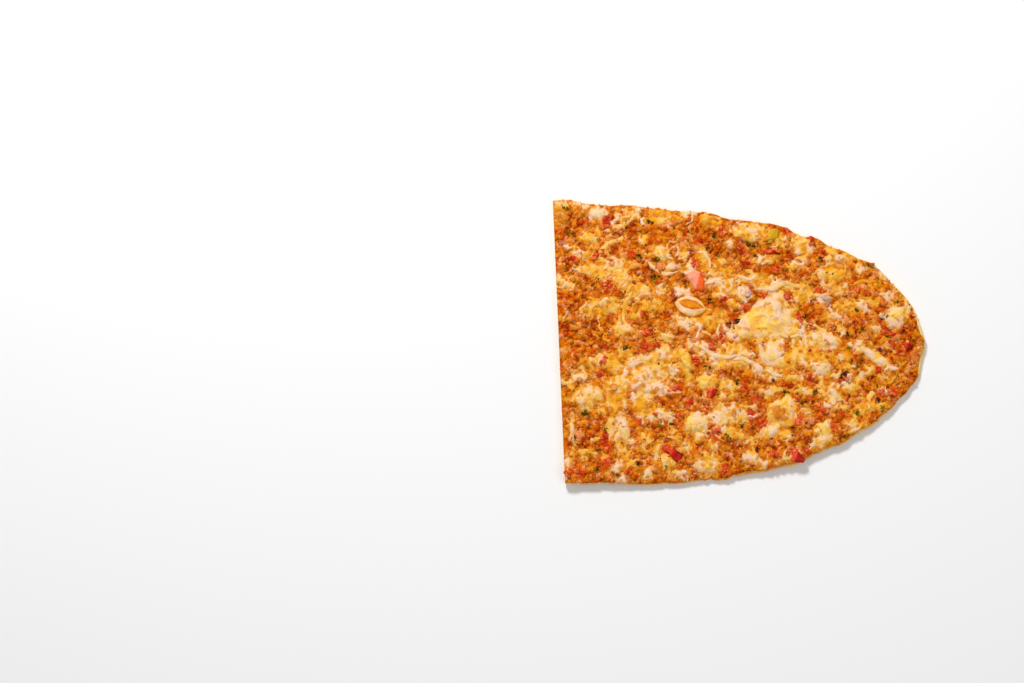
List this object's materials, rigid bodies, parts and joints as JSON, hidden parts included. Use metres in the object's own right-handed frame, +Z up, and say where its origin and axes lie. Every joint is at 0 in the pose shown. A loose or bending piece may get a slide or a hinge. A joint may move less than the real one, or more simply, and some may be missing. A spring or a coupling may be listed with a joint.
{
  "type": "cheese lahmacun",
  "caption": "Half of a long oval thin flatbread, cut straight across, with a crumbly minced meat topping, melted cheese, and bits of tomato and pepper.",
  "frame": {"origin": "on the level of the flat underside, below the middle of the piece's box", "axes": "+Z up out of the topping, +X from the straight cut towards the round tip, +Y across the bread"},
  "size_m": [0.2522, 0.1958, 0.0097],
  "materials": {
    "bread": "matte, baked",
    "topping": "crumbly, slightly oily",
    "cheese": "melted, soft gloss",
    "tomato": "moist, cooked",
    "red_pepper": "moist, cooked",
    "green_pepper": "moist, cooked"
  },
  "bodies": {
    "root": {"bread": "bread", "topping": "topping", "cheese_01": "cheese", "cheese_02": "cheese", "cheese_03": "cheese", "cheese_04": "cheese", "cheese_05": "cheese", "cheese_06": "cheese", "cheese_07": "cheese", "cheese_08": "cheese", "cheese_09": "cheese", "cheese_10": "cheese", "cheese_11": "cheese", "cheese_12": "cheese", "cheese_13": "cheese", "cheese_14": "cheese", "cheese_15": "cheese", "cheese_16": "cheese", "cheese_17": "cheese", "tomato_01": "tomato", "red_pepper_02": "red_pepper", "red_pepper_03": "red_pepper", "red_pepper_04": "red_pepper", "red_pepper_05": "red_pepper", "red_pepper_06": "red_pepper", "green_pepper_07": "green_pepper"}
  },
  "joints": []
}
